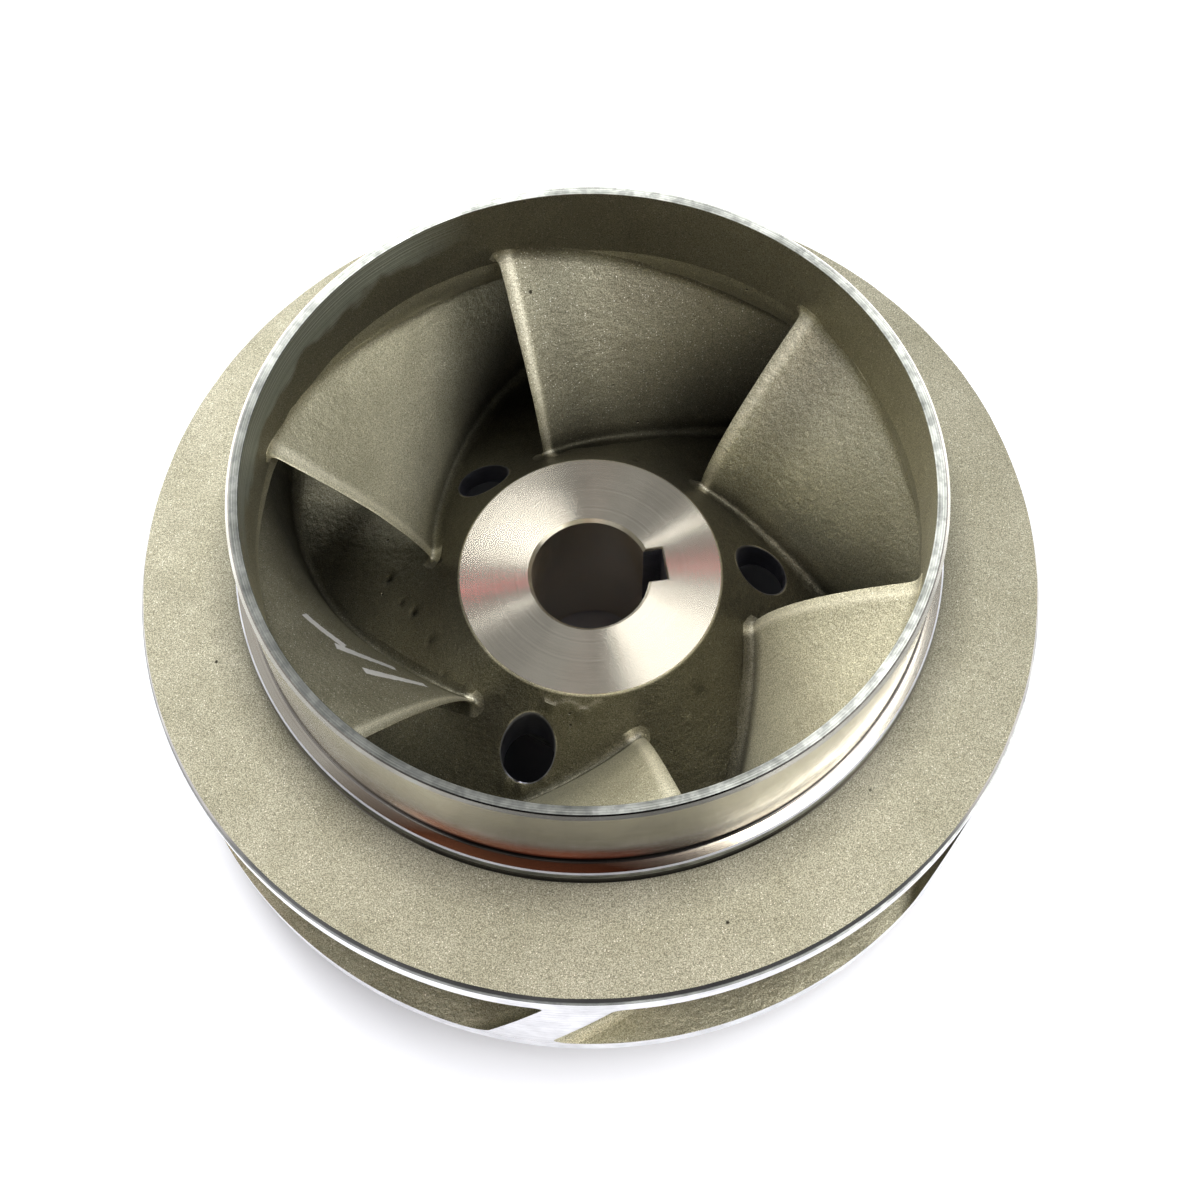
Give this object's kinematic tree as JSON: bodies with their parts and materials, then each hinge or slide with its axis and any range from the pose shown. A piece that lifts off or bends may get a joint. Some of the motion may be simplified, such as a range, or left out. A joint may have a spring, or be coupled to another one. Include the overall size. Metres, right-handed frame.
{
  "type": "pump impeller",
  "caption": "Closed single-entry centrifugal pump impeller, cast in stainless steel, with a turned neck ring, a keyed hub and balance holes.",
  "frame": {"origin": "centre of the hub's rear face, on the shaft axis, in the plane the impeller rests on", "axes": "+Z along the shaft axis towards the eye, +X 7 degrees clockwise of the keyway, seen from the eye"},
  "size_m": [0.208, 0.208, 0.0985],
  "materials": {
    "cast_stainless": "bead-blasted cast stainless steel, turned bright at the neck, hub, bore and rims"
  },
  "bodies": {
    "root": {"impeller_casting": "cast_stainless"}
  },
  "joints": []
}
